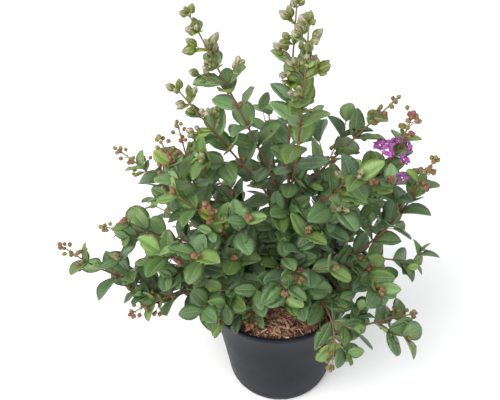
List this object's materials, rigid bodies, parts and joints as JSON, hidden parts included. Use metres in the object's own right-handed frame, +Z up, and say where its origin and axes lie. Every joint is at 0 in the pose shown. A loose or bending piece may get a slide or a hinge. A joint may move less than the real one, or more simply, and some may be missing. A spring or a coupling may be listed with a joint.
{
  "type": "potted flowering shrub",
  "caption": "Young crape myrtle shrub in bud and first purple flower, many leafy shoots from one short stem, in a plain flared grey pot.",
  "frame": {"origin": "centre of the pot's flat underside", "axes": "+Z up; the picture looks along +Y and down, so its left is -X"},
  "size_m": [0.4959, 0.3645, 0.6466],
  "materials": {
    "pot": "matte",
    "potting_mix": "rough",
    "bark": "rough",
    "young_bark": "satin",
    "foliage": "satin"
  },
  "bodies": {
    "root": {"bough_back_left": "young_bark", "bough_back_low": "young_bark", "bough_back_mid": "young_bark", "bough_back_right": "young_bark", "bough_crest_front": "young_bark", "bough_crest_rear": "young_bark", "bough_far_left": "young_bark", "bough_front_left": "young_bark", "bough_front_orange": "young_bark", "bough_front_right": "young_bark", "bough_left": "young_bark", "bough_left_high": "young_bark", "bough_left_low": "young_bark", "bough_left_wide": "young_bark", "bough_right": "young_bark", "bough_right_blossom": "young_bark", "bough_right_mid": "young_bark", "bough_right_red": "young_bark", "bough_tall_left": "young_bark", "bough_upper_left": "young_bark", "foliage_back_fill": "foliage", "foliage_back_left": "foliage", "foliage_back_low": "foliage", "foliage_back_low_left": "foliage", "foliage_back_low_right": "foliage", "foliage_back_mid": "foliage", "foliage_back_right": "foliage", "foliage_bottom_left": "foliage", "foliage_crest_front": "foliage", "foliage_crest_rear": "foliage", "foliage_far_left": "foliage", "foliage_front_fill": "foliage", "foliage_front_hang": "foliage", "foliage_front_left": "foliage", "foliage_front_low": "foliage", "foliage_front_mid": "foliage", "foliage_front_orange": "foliage", "foliage_front_right": "foliage", "foliage_left": "foliage", "foliage_left_high": "foliage", "foliage_left_low": "foliage", "foliage_left_near": "foliage", "foliage_left_wide": "foliage", "foliage_low_right": "foliage", "foliage_right": "foliage", "foliage_right_blossom": "foliage", "foliage_right_inner": "foliage", "foliage_right_low": "foliage", "foliage_right_mid": "foliage", "foliage_right_orange": "foliage", "foliage_right_red": "foliage", "foliage_right_skirt": "foliage", "foliage_right_young": "foliage", "foliage_skirt_front": "foliage", "foliage_skirt_left": "foliage", "foliage_tall_left": "foliage", "foliage_upper_left": "foliage", "pot": "pot", "potting_mix": "potting_mix", "stem": "bark"}
  },
  "joints": []
}
